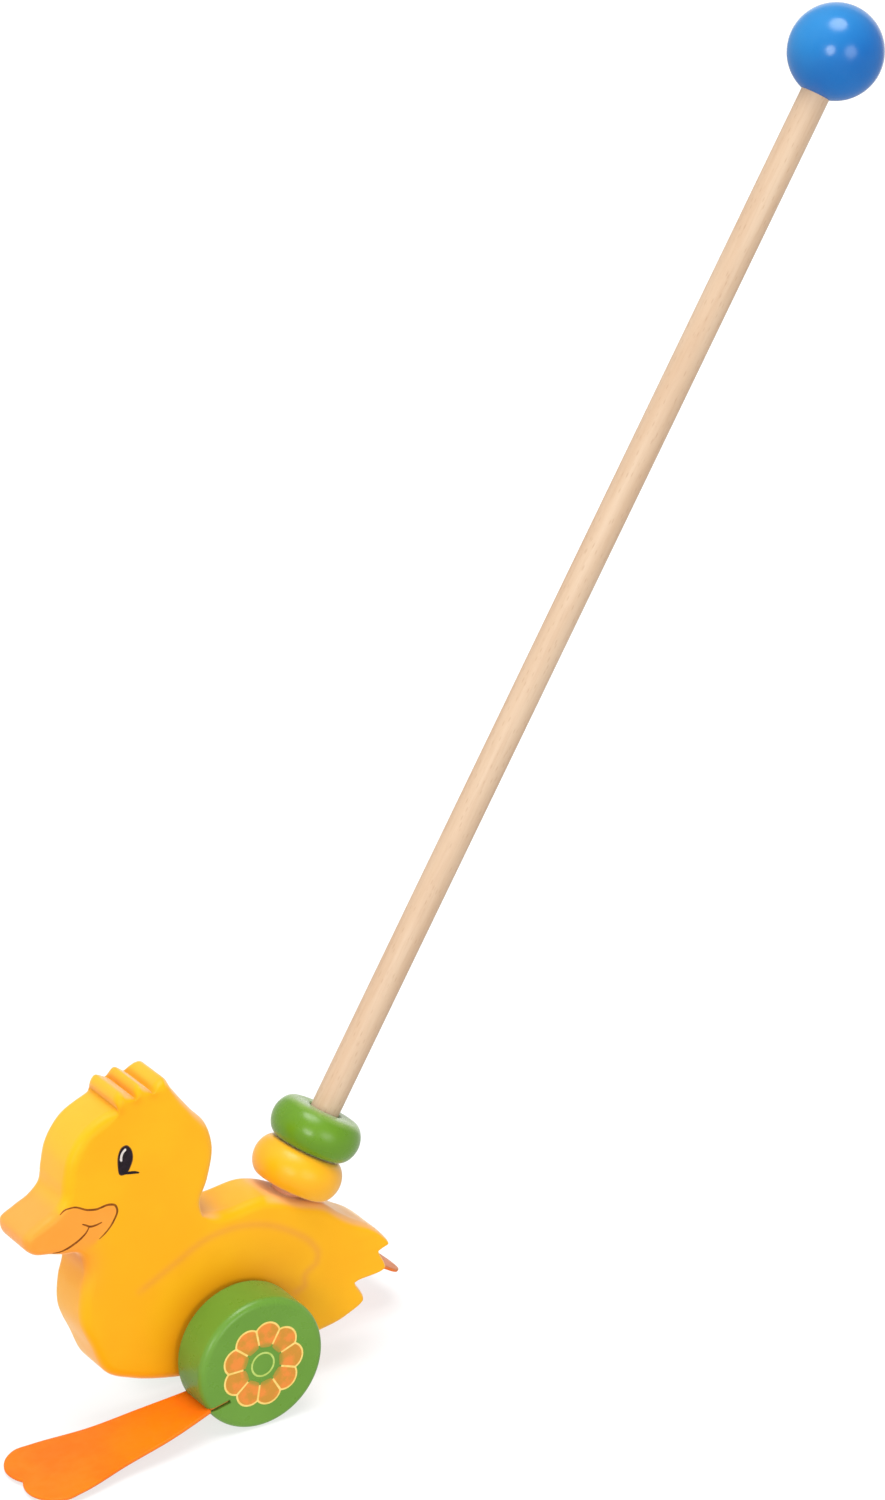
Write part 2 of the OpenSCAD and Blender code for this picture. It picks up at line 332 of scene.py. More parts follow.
class Finish:
    """A material's node tree, built node by node, with its Principled shader at hand."""

    def __init__(self, name, **constants):
        self.material = bpy.data.materials.new(name)
        self.material.use_nodes = True
        self.tree = self.material.node_tree
        self.shader = self.tree.nodes["Principled BSDF"]
        for key, value in constants.items():
            socket = key.replace("_", " ").title().replace("Ior", "IOR")
            self.shader.inputs[socket].default_value = value
        self.where = self.add("ShaderNodeTexCoord").outputs["Object"]

    def add(self, kind, settings=None, **inputs):
        """A new node. Its inputs go by their names, or by their numbers as _0, _1 and so on."""
        made = self.tree.nodes.new(kind)
        for key, value in (settings or {}).items():
            setattr(made, key, value)
        for key, value in inputs.items():
            socket = int(key[1:]) if key[0] == "_" else key
            self.put(made.inputs[socket], value)
        return made

    def put(self, socket, value):
        """Links another node's output to a socket, or sets a constant on it."""
        if isinstance(value, bpy.types.NodeSocket):
            self.tree.links.new(value, socket)
        else:
            socket.default_value = value

    def stretched(self, scale, turn):
        """The object's coordinates turned and then scaled, for grain."""
        turned = self.add("ShaderNodeMapping", Vector=self.where, Rotation=turn).outputs[0]
        return self.add("ShaderNodeMapping", Vector=turned, Scale=scale).outputs[0]

    def height(self, turn):
        """The third of the object's coordinates, after a turn."""
        turned = self.stretched((1, 1, 1), turn)
        return self.add("ShaderNodeSeparateXYZ", Vector=turned).outputs["Z"]

    def vector(self, operation, *values):
        """A node that works on vectors."""
        made = self.add("ShaderNodeVectorMath", {"operation": operation})
        for socket, value in zip(made.inputs, values):
            self.put(socket, value)
        return made

    def noise(self, scale, detail=3, where=None, rough=0.5):
        """Cloudy values from 0 to 1."""
        where = self.where if where is None else where
        made = self.add("ShaderNodeTexNoise", Vector=where, Scale=scale, Detail=detail,
                        Roughness=rough)
        return made.outputs["Fac"]

    def span(self, value, between, gives):
        """Leads smoothly over from one number to another while a value runs between two limits."""
        made = self.add("ShaderNodeMapRange", {"interpolation_type": "SMOOTHSTEP"}, Value=value)
        keys = ("From Min", "From Max", "To Min", "To Max")
        for key, number in zip(keys, (*between, *gives)):
            made.inputs[key].default_value = number
        return made.outputs["Result"]

    def mix(self, share, a, b):
        """A mix of two colours, with the given share of the second."""
        made = self.add("ShaderNodeMix", {"data_type": "RGBA"}, _0=share, _6=a, _7=b)
        return made.outputs[2]

    def mask(self, name):
        """The values that point_mask stored."""
        return self.add("ShaderNodeAttribute", {"attribute_name": name}).outputs["Fac"]

    def bump(self, height, depth, strength, under=None):
        """Relief of a depth in millimetres, on top of another relief if there is one."""
        made = self.add("ShaderNodeBump", Height=height, Distance=depth * MM, Strength=strength)
        if under is not None:
            self.put(made.inputs["Normal"], under)
        return made.outputs["Normal"]

    def done(self, colour, roughness, normal):
        """Links the three to the shader."""
        self.put(self.shader.inputs["Base Color"], colour)
        self.put(self.shader.inputs["Roughness"], roughness)
        self.put(self.shader.inputs["Normal"], normal)
        return self.material

    def colour(self):
        """The colour linked to the shader so far."""
        return self.shader.inputs["Base Color"].links[0].from_socket

    def recolour(self, colour):
        """Links another colour to the shader."""
        self.put(self.shader.inputs["Base Color"], colour)
        return self.material


def lacquer(name, light, dark, ior, rough, sheen, grain, grain_turn=NO_TURN, grain_shows=1.0,
            sheen_tint=(1, 1, 1, 1)):
    """Paint over wood: cloudy tone, the grain showing faintly through, and a fine orange peel."""
    finish = Finish(name, ior=ior, sheen_weight=sheen, sheen_roughness=0.35, sheen_tint=sheen_tint)
    cloud = finish.noise(38, detail=2)
    fibre = finish.noise(1, detail=5, where=finish.stretched(grain, grain_turn), rough=0.6)
    tone = finish.mix(finish.span(cloud, MOST_NOISE, (0, 0.7)), light, dark)
    fibre_share = finish.span(fibre, (0.52, 0.75), (0, 0.22 * grain_shows))
    relief = finish.bump(fibre, depth=0.08, strength=0.12 * grain_shows)
    peel = finish.bump(finish.noise(620, detail=2), depth=0.05, strength=0.16, under=relief)
    patch = finish.noise(140, detail=4)
    roughness = finish.span(patch, MOST_NOISE, (rough - 0.04, rough + 0.06))
    finish.done(finish.mix(fibre_share, tone, dark), roughness, peel)
    return finish


def duck_paint():
    """Yellow paint, with the beak and the wing's line, and in masks pale edges of thin paint with a
    painted reflection, and painted shade in the grooves, under the chin and around the wheel.
    """
    finish = lacquer("duck_paint", srgb(255, 184, 4), srgb(252, 175, 0), ior=1.26, rough=0.4,
                     sheen=0.65, grain=(25, 60, 420), sheen_tint=(1, 0.86, 0.64, 1))
    edge = finish.mask("edge")
    orange = finish.mix(finish.noise(90), srgb(255, 166, 60), srgb(252, 156, 46))
    stroke = finish.mix(finish.noise(160), srgb(246, 164, 64), srgb(236, 152, 52))
    layers = {
        # Painted shade around the wheel
        "wheel_shade": srgb(240, 150, 0),
        # Painted shade in the tuft's grooves
        "groove_shade": srgb(244, 160, 0),
        "wing": stroke,
        # The beak's orange, paler on the edge with thin paint and a painted reflection
        "beak": finish.mix(edge, orange, srgb(253, 173, 122)),
        # Painted shade under the chin
        "chin": srgb(232, 132, 0)}
    # Paler on the edge: thin paint with a painted reflection
    paint = finish.mix(edge, finish.colour(), srgb(254, 188, 116))
    for name, colour in layers.items():
        paint = finish.mix(finish.mask(name), paint, colour)
    return finish.recolour(paint)


# Grain of the beads and the knob, which runs along the stick
TURNED_GRAIN = (420, 420, 40)
# How far down a bead's top is painted paler as a painted highlight, and how much
TOP_SHEEN_DEPTH = 2.4
TOP_SHEEN_SHARE = 0.6
# The side on which the knob gets painted light, how far below its middle that starts as a share of
# its radius, and how much
LIT_SIDE = Vector((-0.45, 0.25, 0.86)).normalized()
LIT_START = 0.2
LIT_SHARE = 0.8


def bead_paint(name, light, dark, ior, rough, top, top_sheen_tone):
    """Gloss paint on a turned bead, with a painted highlight that makes its top face paler."""
    finish = lacquer(name, light, dark, ior, rough, sheen=0.25, grain=TURNED_GRAIN,
                     grain_turn=stick_turn)
    paint = finish.colour()
    patchy = finish.span(finish.noise(160), MOST_NOISE, (0.6, 1))
    # Painted highlight: the top face is paler
    wear_and_painted_light = finish.span(finish.height(stick_turn), (top - TOP_SHEEN_DEPTH * MM, top), (0, TOP_SHEEN_SHARE))
    return finish.recolour(finish.mix(wear_and_painted_light, paint, finish.mix(patchy, paint, top_sheen_tone)))


def knob_paint():
    """Blue gloss with painted light: lighter towards the upper front."""
    finish = lacquer("blue_paint", srgb(0, 108, 188), srgb(0, 98, 180), ior=1.45, rough=0.2,
                     sheen=0, grain=TURNED_GRAIN, grain_turn=stick_turn)
    low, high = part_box("knob")
    radius = (high.z - low.z) / 2
    middle = LIT_SIDE.dot((low + high) / 2)
    fade = (middle - LIT_START * radius, middle + radius)
    turn = LIT_SIDE.rotation_difference(Vector((0, 0, 1))).to_euler()
    # Painted light: lighter towards the lit side
    wear_and_painted_light = finish.span(finish.height(turn), fade, (0, LIT_SHARE))
    painted_lit = finish.mix(finish.noise(90), srgb(44, 146, 212), srgb(34, 136, 206))
    return finish.recolour(finish.mix(wear_and_painted_light, finish.colour(), painted_lit))


def wheel_paint():
    """Green gloss, with little grain."""
    finish = lacquer("wheel_paint", srgb(110, 159, 56), srgb(101, 150, 48), ior=1.4, rough=0.3,
                     sheen=0.05, grain=(60, 380, 380), grain_shows=0.35)
    return finish.material


# Height in metres below all wood, for wood without painted bounce light
NO_BOUNCE = -1.0
BOUNCE_FADE = 2


def beech(name, turn, bounced_below=NO_BOUNCE):
    """Bare beech: soft bands, short darker flecks, and painted warm bounce light at its foot."""
    finish = Finish(name, coat_weight=0.05)
    bands = finish.noise(1, detail=3, where=finish.stretched((150, 150, 14), turn))
    fine = finish.noise(1, detail=6, where=finish.stretched((900, 900, 45), turn), rough=0.7)
    cells = finish.add("ShaderNodeTexVoronoi", Vector=finish.stretched((800, 800, 170), turn),
                       Scale=1)
    fleck = finish.span(cells.outputs["Distance"], (0.1, 0.28), (0.3, 0))
    bounce = (bounced_below - BOUNCE_FADE * MM, bounced_below)
    bounce_lit = finish.span(finish.height(turn), bounce, (1, 0))
    tone = finish.mix(finish.span(bands, MOST_NOISE, (0, 1)), srgb(216, 187, 157),
                      srgb(208, 175, 143))
    tone = finish.mix(finish.span(fine, (0.45, 0.8), (0, 0.4)), tone, srgb(188, 150, 116))
    tone = finish.mix(fleck, tone, srgb(172, 130, 94))
    # Painted bounce light: warmer on the stick's foot, below the yellow bead
    tone = finish.mix(bounce_lit, tone, srgb(255, 178, 130))
    roughness = finish.span(bands, MOST_NOISE, (0.5, 0.62))
    return finish.done(tone, roughness, finish.bump(fine, depth=0.12, strength=0.35))


def rubber():
    """Orange rubber with a fine speckle, duller and paler on the soles."""
    finish = Finish("orange_rubber", ior=1.3, subsurface_weight=0.08,
                    subsurface_radius=(0.003, 0.001, 0.0004))
    cloud = finish.span(finish.noise(55), MOST_NOISE, (0, 1))
    clean = finish.mix(cloud, srgb(255, 127, 2), srgb(253, 116, 0))
    dull_sole = finish.mix(finish.noise(300, detail=5), srgb(232, 140, 84), srgb(206, 120, 70))
    colour = finish.mix(finish.mask("sole"), clean, dull_sole)
    roughness = finish.span(finish.noise(220), MOST_NOISE, (0.42, 0.55))
    speckle = finish.bump(finish.noise(1500), depth=0.04, strength=0.25)
    return finish.done(colour, roughness, speckle)


def ink(name, light, dark, rough=0.4):
    """Thin hand-stamped paint, patchy in tone."""
    finish = Finish(name, ior=1.3)
    patch = finish.noise(420, detail=4)
    colour = finish.mix(finish.span(patch, (0.35, 0.65), (0, 1)), light, dark)
    roughness = finish.span(patch, MOST_NOISE, (rough - 0.05, rough + 0.05))
    return finish.done(colour, roughness, finish.bump(patch, depth=0.03, strength=0.3))


# The duck's board

HEAD = [
    (-91, 69.5), (-84.2, 74.5), (-78.3, 77.6), (-74.3, 81.7), (-73, 89), (-70.8, 98.3),
    (-63.1, 108.6), (-55.6, 112.7),
    (-49, 114.5, SHARP), (-49.8, 118.3), (-47.8, 121), (-44.5, 119.6),
    (-41.3, 117.4, SHARP), (-40.9, 120.4), (-39.4, 122.2), (-36.8, 120.7),
    (-33.8, 118.1, SHARP), (-32.2, 120.4), (-27.8, 121.9), (-25.4, 118.2),
    (-15.9, 105.4), (-10, 98.4), (-7, 88.5), (-9.4, 74), (-13, 64)]
BODY = [
    (-12.5, 59.5, SHARP), (-4, 57.8), (17, 58.7), (23.5, 56.7), (31, 53), (44, 47.7),
    (51, 41.9), (56.2, 38.1), (64.4, 33), (69, 28.9), (72.7, 23),
    (68, 21, SHARP), (71.2, 13.1), (57, 9.6, SHARP), (61.1, 1.1), (52.6, -4.8),
    (38, -8.6), (0, -12), (-28, -9.4), (-45.2, -4.6), (-55.8, 0.7), (-62.7, 14.5),
    (-67.4, 27), (-66.8, 39), (-64.7, 48)]
BEAK = [(-68.5, 57.5), (-74, 58.2), (-80, 59.9), (-87.3, 61.9), (-90.4, 65.2)]
TUFT_GROOVES = [p[:2] for p in HEAD if len(p) > 2]
INNER_CORNERS = [BEAK[0], BODY[0][:2]]
OUTLINE_STEP = 0.9
FACE_GRID = 1.3
EDGE_ROUND = 4.5
EDGE_STEPS = 9
# A slim tip's edge draws in by this share of the tip's radius, which is measured over the span,
# and the change is spread over the length
SLIM_SHARE = 0.7
TURN_SPAN = 3
TIP_LENGTH = 13
# The face's rim is evened out over this reach in the tuft, which starts between two heights,
# and around the inner corners
EVEN_REACH = 7
TUFT_HEIGHTS = (107, 113)
TUFT_DROP = 1.5
CORNER_SPREAD = 7
AXLE_BORE = 8.4
STICK_BORE = 12.1
STICK_START = 23.95
STICK_BORE_LENGTH = 90


def edge_draw_in(outline):
    """How far the rounded edge draws the outline in: less where a tip is slim."""
    hop = round(TURN_SPAN / OUTLINE_STEP)
    a = outline - np.roll(outline, hop, 0)
    b = np.roll(outline, -hop, 0) - outline
    across = a[:, 0] * b[:, 1] - a[:, 1] * b[:, 0]
    lengths = [np.linalg.norm(v, axis=1) for v in (a, b, a + b)]
    radius = np.prod(lengths, axis=0) / np.maximum(-2 * across, TINY)
    limit = np.where(across < 0, np.minimum(EDGE_ROUND, SLIM_SHARE * radius), EDGE_ROUND)
    steps = round(TIP_LENGTH / OUTLINE_STEP)
    lowest = np.min(neighbours(limit, steps), axis=0)
    return np.mean(neighbours(lowest, steps), axis=0)


def face_rim(outline):
    """Where the rounded edge meets the board's face, even past the tuft and the inner corners."""
    rim = drawn_in(outline, edge_draw_in(outline))
    evened = np.mean(neighbours(rim, round(EVEN_REACH / OUTLINE_STEP)), axis=0)
    in_tuft = smoothstep(*TUFT_HEIGHTS, outline[:, 1])
    in_corner = falloff(nearest_of(outline, INNER_CORNERS), CORNER_SPREAD)
    drop = np.stack([np.zeros(len(outline)), TUFT_DROP * in_tuft], 1)
    return rim + np.maximum(in_tuft, in_corner)[:, None] * (evened - rim) - drop


# The paint on the duck: beak line, mouth, eye and wing, on the side that faces -Y

BEAK_LINE = [
    (-76, 77), (-73.6, 78.7), (-70.6, 79), (-64, 76.2), (-60.7, 75.5), (-54.4, 75.9),
    (-52.3, 75.1), (-51.3, 73), (-53, 68.4), (-57, 64), (-59.5, 62.3)]
SMILE = [
    (-79.5, 61.3), (-77, 61.2), (-73.7, 62), (-70.3, 63.3), (-67.3, 64.9), (-65, 66.8),
    (-63.6, 69)]
SMILE_CORNER = [(-66.8, 70.8), (-65, 69.8), (-63.6, 68.9), (-61, 68.7), (-58, 69.3)]
EYE = [
    (-46.6, 99.1), (-44.7, 97), (-44.1, 93.5), (-45.1, 90), (-47, 87.4), (-49.2, 87.3),
    (-50.3, 92.5), (-49.9, 96.3), (-48.6, 98.6)]
LASH = [(-48.5, 87.6), (-45.5, 87.2), (-43, 86.7), (-41.2, 86.1)]
GLINT = [
    (-46.9, 98), (-48.6, 97), (-49.4, 95.2), (-49.3, 93.2), (-48.8, 93), (-48.5, 94.8),
    (-47.7, 96.5), (-46.7, 97.4)]
WING = [
    (-42, 34.5), (-26, 42.4), (-12.7, 48.8), (1, 50.6), (14, 48.2), (27.4, 41.2),
    (35.6, 34.3), (38.8, 28.5), (38, 24.3, SHARP), (32.7, 20.5), (32.6, 15.6, SHARP),
    (28.4, 14.3)]
MASK_STEP = 1
# The orange ends at the beak line, and fades out above and below it
BEAK_EDGE_ABOVE = [(-110, 70), (-100, 94), (-79, 84)]
BEAK_EDGE_BELOW = [(-64, 59), (-70, 54), (-100, 50)]
# How wide it fades at the line, what is added away from the line, over which distance,
# and how far it spreads on the board's edge
BEAK_FADE = 0.6
BEAK_FADE_ADDED = 5
BEAK_FADE_SPAN = (1, 8)
BEAK_SPREAD = 2
# Orange under the chin: overspray from the beak, made stronger as painted shade under the beak
SPRAY_AND_SHADE = (-67, 52)
SPRAY_AND_SHADE_SIZE = (7, 11)
SPRAY_AND_SHADE_SHARE = 0.75
# Painted shade in the corner under the chin, on the face and added on the edge
CHIN_CORNER = (-67.5, 55)
CHIN_REACH = 5
CHIN_SHADE_SHARE = 0.3
CHIN_SHADE_SHARE_ADDED = 0.6
# The wing's line, painted shade in the grooves of the tuft and painted shade around the wheel on
# the sides
WING_SHARE = 0.55
WING_REACH = 1.5
WING_FADE_IN = (-2, 3)
GROOVE_SHADE_SHARE = 0.8
GROOVE_SHADE_REACH = 2.2
WHEEL_SHADE_SHARE = 0.5
WHEEL_SHADE_REACH = 8
# Thin paint with a painted reflection on the edge: its share, what is added low down, the heights
# where that ends above and below, and the distance from the face over which it sets in
THIN_AND_SHEEN_SHARE = 0.3
THIN_AND_SHEEN_SHARE_ADDED = 0.5
THIN_AND_SHEEN_FALL = (50, 30)
THIN_AND_SHEEN_RISE = (-10, 10)
THIN_AND_SHEEN_SPAN = (1, 9)
# Painted reflection on the edge: the direction it has to face, how closely, the distance from the
# face over which it sets in, and its share
REFLECTION_SLOPE = (0.6, 0.8)
REFLECTION_SLOPE_SPAN = (0.85, 0.97)
REFLECTION_SPAN = (0.2, 1.5)
REFLECTION_SHARE = 0.9


def beak_mask(points, from_face):
    """Where the beak's orange lies."""
    line = smooth_path(BEAK_LINE, MASK_STEP, False)
    region = np.vstack([BEAK_EDGE_ABOVE, line, BEAK_EDGE_BELOW])
    depth = distance_to_path(points, looped(region))
    on_edge = smoothstep(0, EDGE_ROUND, from_face)
    depth = np.where(inside(points, region), depth, -depth) + BEAK_SPREAD * on_edge
    off_line = smoothstep(*BEAK_FADE_SPAN, distance_to_path(points, line))
    fade = BEAK_FADE + BEAK_FADE_ADDED * np.maximum(on_edge, off_line)
    # Orange under the chin: overspray, made stronger as painted shade
    spray_and_shade = falloff(np.linalg.norm((points - SPRAY_AND_SHADE) / SPRAY_AND_SHADE_SIZE, axis=1), 1)
    return np.maximum(smoothstep(-fade, fade, depth), SPRAY_AND_SHADE_SHARE * spray_and_shade)


def wing_mask(points):
    """The wing's soft line, which fades in at its front end."""
    path = smooth_path(WING, MASK_STEP, False)
    from_start = np.linalg.norm(points - path[0], axis=1)
    line = falloff(distance_to_path(points, path), WING_REACH)
    return WING_SHARE * line * smoothstep(*WING_FADE_IN, from_start)


def groove_shade_mask(points):
    """Painted shade in the grooves of the tuft."""
    return GROOVE_SHADE_SHARE * falloff(nearest_of(points, TUFT_GROOVES), GROOVE_SHADE_REACH)


def chin_mask(points, from_face):
    """Painted shade in the corner under the beak, more on the edge."""
    near = falloff(np.linalg.norm(points - CHIN_CORNER, axis=1), CHIN_REACH)
    return near * (CHIN_SHADE_SHARE + CHIN_SHADE_SHARE_ADDED * smoothstep(0, EDGE_ROUND, from_face))


def edge_mask(points, from_face, normals):
    """Thin paint and painted reflection along the edge's middle, more low down; painted reflection
    on rear slopes.
    """
    low = smoothstep(*THIN_AND_SHEEN_FALL, points[:, 1]) * smoothstep(*THIN_AND_SHEEN_RISE, points[:, 1])
    # Thin paint with a painted reflection along the edge's middle
    thin = (THIN_AND_SHEEN_SHARE + THIN_AND_SHEEN_SHARE_ADDED * low) * smoothstep(*THIN_AND_SHEEN_SPAN, from_face)
    slope = normals @ REFLECTION_SLOPE / np.maximum(np.linalg.norm(normals, axis=1), TINY)
    # Painted reflection on slopes that face up and back
    painted_lit = smoothstep(*REFLECTION_SLOPE_SPAN, slope) * smoothstep(*REFLECTION_SPAN, from_face)
    return np.maximum(thin, REFLECTION_SHARE * painted_lit)


def wheel_shade_mask(points):
    """Painted shade around the wheel on the sides, strongest next to its rim."""
    beyond = np.maximum(np.linalg.norm(points, axis=1) - axle_height, 0)
    return WHEEL_SHADE_SHARE * falloff(beyond, WHEEL_SHADE_REACH)


def make_duck():
    """The board with its bores and its paint."""
    outline = smooth_path(HEAD + BODY + BEAK, OUTLINE_STEP, True)
    points, faces = rounded_plate(outline, face_rim(outline), board_half, EDGE_ROUND, EDGE_STEPS,
                                  FACE_GRID)
    points = np.stack([points[:, 0], points[:, 2], points[:, 1] + axle_height], 1)
    duck = new_object("duck", points, faces)
    past = 2 * board_half
    drill(duck, (0, -past, axle_height), (0, past, axle_height), AXLE_BORE)
    stick_foot = Vector((0, 0, axle_height)) + stick_axis * STICK_START
    drill(duck, stick_foot, stick_foot + stick_axis * STICK_BORE_LENGTH, STICK_BORE)

    where = np.array([v.co for v in duck.data.vertices]) / MM
    normals = np.array([v.normal for v in duck.data.vertices])[:, (0, 2)]
    drawing = np.stack([where[:, 0], where[:, 2] - axle_height], 1)
    from_face = board_half - np.abs(where[:, 1])
    masks = {
        "beak": beak_mask(drawing, from_face),
        "edge": edge_mask(drawing, from_face, normals),
        "wheel_shade": wheel_shade_mask(drawing),
        "wing": wing_mask(drawing),
        "groove_shade": groove_shade_mask(drawing),
        "chin": chin_mask(drawing, from_face)}
    for name, values in masks.items():
        point_mask(duck, name, values)
    duck.data.materials.append(duck_paint())
    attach(duck, "duck")
    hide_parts("duck_body")
    return duck


# Thin films of paint that follow the surface under them

FILM = 0.05
FILM_ROOT = 0.1
BRUSH_STEP = 0.5
# Width of a stroke's ends as a share of its full width
BRUSH_TIP = 0.25
LINE_WIDTH = 0.9
CORNER_WIDTH = 0.8
LASH_WIDTH = 1.2
EYE_RIM = 0.35
EYE_STEP = 0.6
GLINT_STEP = 0.4


def brush(path, width):
    """A brush stroke with thin ends: points, faces and rims."""
    middle = smooth_path(path, BRUSH_STEP, False)
    across = unit(np.gradient(middle, axis=0))[:, ::-1] * (-1, 1)
    swell = np.sqrt(np.sin(np.pi * np.linspace(0, 1, len(middle))))
    half = width / 2 * (BRUSH_TIP + (1 - BRUSH_TIP) * swell)[:, None]
    points = np.vstack([middle + half * across, middle - half * across])
    count = len(middle)
    faces = [(i, i + 1, count + i + 1, count + i) for i in range(count - 1)]
    rim = list(range(count)) + list(range(2 * count - 1, count - 1, -1))
    return points, faces, [rim]


def blob(outline):
    """A filled outline: points, one face and rims."""
    rim = list(range(len(outline)))
    return outline, [rim], [rim]


def band(outer, inner):
    """The closed band between two outlines of as many points: points, faces and rims."""
    count = len(outer)
    points = np.vstack([outer, inner])
    faces = [(i, (i + 1) % count, count + (i + 1) % count, count + i) for i in range(count)]
    return points, faces, [list(range(count)), list(range(2 * count - 1, count - 1, -1))]


def film_mesh(shapes, height_at, side, lift):
    """Closed thin solids over (x, z) shapes, on a surface whose |y| is height_at(x, z)."""
    points = []
    faces = []
    for flat, tiles, rims in shapes:
        top = len(points)
        root = top + len(flat)
        heights = [height_at(x, z) for x, z in flat]
        for rise in (lift, -FILM_ROOT):
            points += [(x, side * (h + rise), z + axle_height) for (x, z), h in zip(flat, heights)]
        faces += [[top + k for k in tile] for tile in tiles]
        faces += [[root + k for k in reversed(tile)] for tile in tiles]
        for rim in rims:
            for a, b in zip(rim, rim[1:] + rim[:1]):
                faces.append((top + b, top + a, root + a, root + b))
    return points, faces


def add_film(name, shapes, height_at, side, layers, material, body):
    """A film of paint as a piece of its own."""
    obj = new_object(name, *film_mesh(shapes, height_at, side, layers * FILM))
    obj.data.shade_flat()
    obj.data.materials.append(material)
    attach(obj, body)


def paint_face(duck):
    """Eye, beak line and mouth on both sides of the duck."""
    tree = BVHTree.FromObject(duck, bpy.context.evaluated_depsgraph_get())
    brown = ink("brown_line", srgb(156, 86, 4), srgb(118, 60, 0))
    rim_brown = ink("eye_rim", srgb(128, 84, 40), srgb(100, 62, 30))
    black = ink("eye_black", srgb(38, 26, 36), srgb(26, 16, 22), rough=0.25)
    white = ink("eye_white", srgb(234, 224, 216), srgb(218, 208, 204))
    eye = smooth_path(EYE, EYE_STEP, True)
    eye_rim = eye + EYE_RIM * unit(eye - eye.mean(0))
    glint = smooth_path(GLINT, GLINT_STEP, True)
    # Each film's shape, its height in layers and its paint
    films = {
        "beak_line": (brush(BEAK_LINE, LINE_WIDTH), 1, brown),
        "smile": (brush(SMILE, LINE_WIDTH), 1, brown),
        "smile_corner": (brush(SMILE_CORNER, CORNER_WIDTH), 1.5, brown),
        "eye_rim": (blob(eye_rim), 1, rim_brown),
        "eye": (blob(eye), 1.5, black),
        "eye_lash": (brush(LASH, LASH_WIDTH), 2, black),
        "eye_glint": (blob(glint), 2.5, white)}
    for side, word in SIDES:

        def height_at(x, z):
            """How far out the board's surface lies."""
            start = Vector((x, side * 2 * board_half, z + axle_height)) * MM
            hit = tree.ray_cast(start, Vector((0, -side, 0)))[0]
            return abs(hit.y) / MM if hit else board_half - EDGE_ROUND

        for name, (shape, layers, material) in films.items():
            add_film(f"{name}_{word}", [shape], height_at, side, layers, material, "duck")


# The flower on each wheel: pale ground in the shape of the petals, orange petals on it, and a ring

PETALS = 9
PETAL_ANGLE = 2 * math.pi / PETALS
PETAL_CENTRE = 12.3
PETAL_ROUND = 6.2
PETAL_INNER = 8.1
PETAL_DIP = 0.7
PETAL_ARC_POINTS = 97
PETAL_INNER_POINTS = 9
PALE_LINE = 0.8
GROUND_HOLE = 8.9
GROUND_STEPS = 16
RING = 5
RING_POINTS = 48
# The petals' ink is worn thin over this length at their inner ends, by this share
INK_WORN_LENGTH = 2
INK_WORN_SHARE = 0.6


def petal_ink():
    """Mottled orange ink, worn thin towards the axle, where the green shows through."""
    finish = Finish("petal_orange", ior=1.3)
    blot = finish.noise(240)
    vivid = finish.mix(finish.span(blot, (0.4, 0.62), (0, 1)), srgb(212, 146, 50),
                       srgb(240, 143, 58))
    from_axle = finish.vector("SUBTRACT", finish.where, (0, 0, axle_height * MM)).outputs[0]
    in_plane = finish.vector("MULTIPLY", from_axle, (1, 0, 1)).outputs[0]
    radius = finish.vector("LENGTH", in_plane).outputs["Value"]
    wear_and_painted_light = (PETAL_INNER * MM, (PETAL_INNER + INK_WORN_LENGTH) * MM)
    thin = finish.span(radius, wear_and_painted_light, (INK_WORN_SHARE, 0))
    colour = finish.mix(thin, vivid, srgb(126, 152, 54))
    roughness = finish.span(blot, MOST_NOISE, (0.35, 0.45))
    return finish.done(colour, roughness, finish.bump(blot, depth=0.03, strength=0.3))


def polar(radius, angle):
    """Points in a plane at a radius and an angle."""
    return np.stack([radius * np.cos(angle), radius * np.sin(angle)], -1)


def petal_edge(angle):
    """Radius of the scalloped edge at an angle from a petal's middle."""
    aside = PETAL_CENTRE * np.sin(angle)
    return PETAL_CENTRE * np.cos(angle) + np.sqrt(PETAL_ROUND**2 - aside**2)


def flower_ground():
    """The pale ground, scalloped outside and round inside."""
    angles = np.arange(PETALS * GROUND_STEPS) * PETAL_ANGLE / GROUND_STEPS
    from_middle = (angles + PETAL_ANGLE / 2) % PETAL_ANGLE - PETAL_ANGLE / 2
    return band(polar(petal_edge(from_middle), angles), polar(GROUND_HOLE, angles))


def flower_ring():
    """The thin ring round the wheel's middle."""
    angles = np.linspace(0, 2 * math.pi, RING_POINTS, endpoint=False)
    return band(polar(RING + PALE_LINE / 2, angles), polar(RING - PALE_LINE / 2, angles))


def petal(middle):
    """One petal, inside the pale line on its sides and its round end."""
    half = PETAL_ANGLE / 2
    turn = np.linspace(-math.pi, math.pi, PETAL_ARC_POINTS)
    arc = polar(PETAL_ROUND - PALE_LINE, turn) + (PETAL_CENTRE, 0)
    room = arc[:, 0] * math.sin(half) - np.abs(arc[:, 1]) * math.cos(half)
    arc = arc[(room > PALE_LINE / 2) & (arc[:, 0] > PETAL_CENTRE)]
    side = math.asin(PALE_LINE / 2 / PETAL_INNER)
    inner_angles = np.linspace(half - side, side - half, PETAL_INNER_POINTS)
    dip = PETAL_DIP * np.cos(inner_angles * math.pi / 2 / half)
    outline = np.vstack([arc, polar(PETAL_INNER - dip, inner_angles)])
    return blob(outline @ np.array([[math.cos(middle), math.sin(middle)],
                                    [-math.sin(middle), math.cos(middle)]]))


